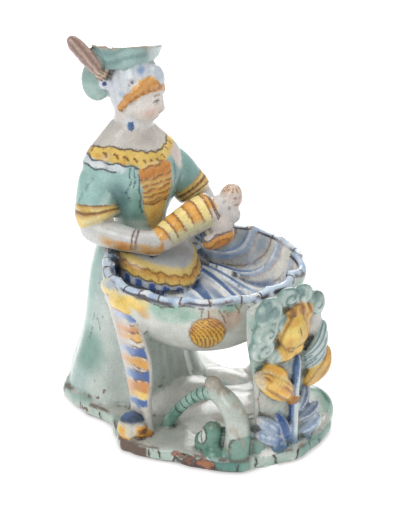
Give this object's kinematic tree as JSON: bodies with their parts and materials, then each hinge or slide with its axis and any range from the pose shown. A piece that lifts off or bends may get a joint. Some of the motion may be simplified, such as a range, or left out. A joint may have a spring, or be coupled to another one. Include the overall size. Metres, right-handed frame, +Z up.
{
  "type": "figural salt cellar",
  "caption": "Glazed pottery salt cellar: a lady in a feathered hat holds a child over a fluted shell bowl on scrolled struts, a flower pillar and a moulded plate.",
  "frame": {"origin": "middle of the plate's flat underside, on the plane that passes between the two struts and through the lady and the pillar", "axes": "+Z up from the plate to the hat, -Y the way the lady faces, out over the bowl, +X to the lady's left"},
  "size_m": [0.1469, 0.1968, 0.247],
  "materials": {
    "glaze": "glossy opaque white tin glaze painted in green, yellow, orange, brown and blue"
  },
  "bodies": {
    "root": {"salt_cellar": "glaze"}
  },
  "joints": []
}
